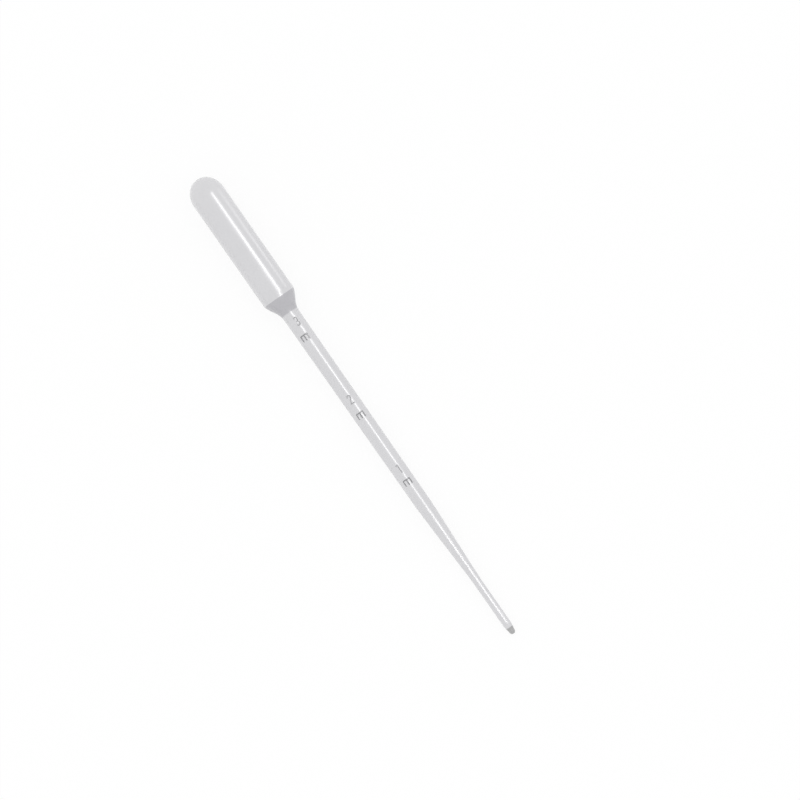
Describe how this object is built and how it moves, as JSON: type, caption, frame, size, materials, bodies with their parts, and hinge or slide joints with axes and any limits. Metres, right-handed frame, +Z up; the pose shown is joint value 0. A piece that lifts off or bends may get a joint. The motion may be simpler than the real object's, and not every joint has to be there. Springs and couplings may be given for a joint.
{
  "type": "plastic dropper pipette",
  "caption": "Disposable dropper pipette: a hollow one-piece milky plastic squeeze bulb, slim graduated stem and fine open tip, lying on its side.",
  "frame": {"origin": "on the surface it lies on, under the middle of its box", "axes": "+X along the pipette from the bulb to the tip, +Z up, with the graduations facing +Z; at rest the pipette's own axis dips about 2 degrees towards the tip"},
  "size_m": [0.16, 0.0104, 0.0115],
  "materials": {
    "polyethylene": "milky translucent low-density polyethylene, smooth and softly glossy, denser at the shoulder and the nose"
  },
  "bodies": {
    "root": {"pipette": "polyethylene"}
  },
  "joints": []
}
